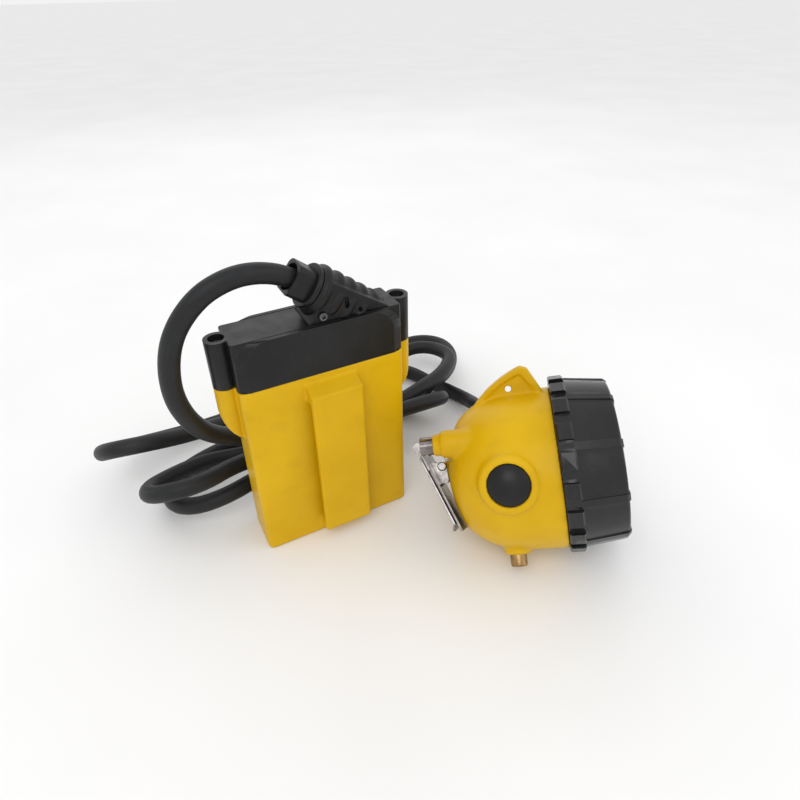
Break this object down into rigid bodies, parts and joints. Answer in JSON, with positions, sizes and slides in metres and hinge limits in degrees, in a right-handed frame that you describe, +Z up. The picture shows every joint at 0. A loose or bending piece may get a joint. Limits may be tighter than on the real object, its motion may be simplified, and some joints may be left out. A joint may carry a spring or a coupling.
{
  "type": "miner's cap lamp",
  "caption": "Corded miner's cap lamp: belt battery with loop and screwed cap, coiled cord, domed headpiece with lugged bezel, push button, charging stud and sprung helmet clip.",
  "frame": {"origin": "centre of the battery's base, which stands on the ground", "axes": "+X along the battery's broad front face towards its right, +Y to the battery's back, +Z up; the headpiece lies in front and to the right"},
  "size_m": [0.2466, 0.2338, 0.1493],
  "materials": {
    "yellow plastic": "satin moulded",
    "black plastic": "satin moulded",
    "seal rubber": "plain",
    "screw steel": "plated",
    "cradle plastic": "moulded",
    "nickel": "rolled",
    "foam": "foam",
    "circuit board": "solder mask",
    "black rubber": "moulded",
    "dark steel": "blackened",
    "cord rubber": "extruded",
    "cell wrap": "shrink wrap",
    "clear lens": "polished",
    "reflector mirror": "vacuum coated",
    "aluminium": "machined",
    "white board": "solder mask",
    "phosphor": "silicone",
    "bracket steel": "stamped",
    "brass": "tarnished",
    "plated steel": "nickel plated",
    "spring steel": "drawn"
  },
  "bodies": {
    "lamp_set": {"battery_case": "yellow plastic", "battery_cap": "black plastic", "cap_gasket": "seal rubber", "cap_screws": "screw steel", "front_cell_cradle": "cradle plastic", "back_cell_cradle": "cradle plastic", "lower_nickel_strip": "nickel", "upper_nickel_strip": "nickel", "lower_foam_pad": "foam", "upper_foam_pad": "foam", "protection_board": "circuit board", "gland_boot": "black rubber", "gland_flange": "black plastic", "cable_collar": "black plastic", "clamp_screw": "dark steel", "lamp_cord": "cord rubber", "battery_cell_1": "cell wrap", "battery_cell_2": "cell wrap", "battery_cell_3": "cell wrap", "battery_cell_4": "cell wrap", "lamp_shell": "yellow plastic", "bezel_ring": "black plastic", "lens": "clear lens", "lens_seal": "seal rubber", "reflector": "reflector mirror", "heat_sink": "aluminium", "led_board": "white board", "main_led": "phosphor", "lamp_board": "circuit board", "switch_body": "black plastic", "switch_bracket": "bracket steel", "charging_stud": "brass", "stud_nut": "brass", "cord_nut": "black plastic", "strain_relief": "black rubber", "clip_bracket": "plated steel", "clip_pin": "plated steel", "clip_spring": "spring steel", "clip_rivet": "plated steel", "clip_bush": "plated steel"},
    "button": {"push_button": "black rubber"},
    "clip_leaf": {"clip_arm": "plated steel"}
  },
  "joints": [
    {"name": "button_press", "type": "slide", "parent": "lamp_set", "child": "button", "axis": [0.5767, 0.6503, -0.4946], "range_m": [0, 0.0018], "stiffness_N_per_m": 900, "springref_m": -0.0006},
    {"name": "clip_opening", "type": "hinge", "parent": "lamp_set", "child": "clip_leaf", "pos_m": [0.04356, -0.02316, 0.04124], "axis": [0.5375, 0.5324, -0.654], "range_deg": [0, 20], "stiffness_Nm_per_rad": 0.25, "springref_deg": -14.32}
  ]
}
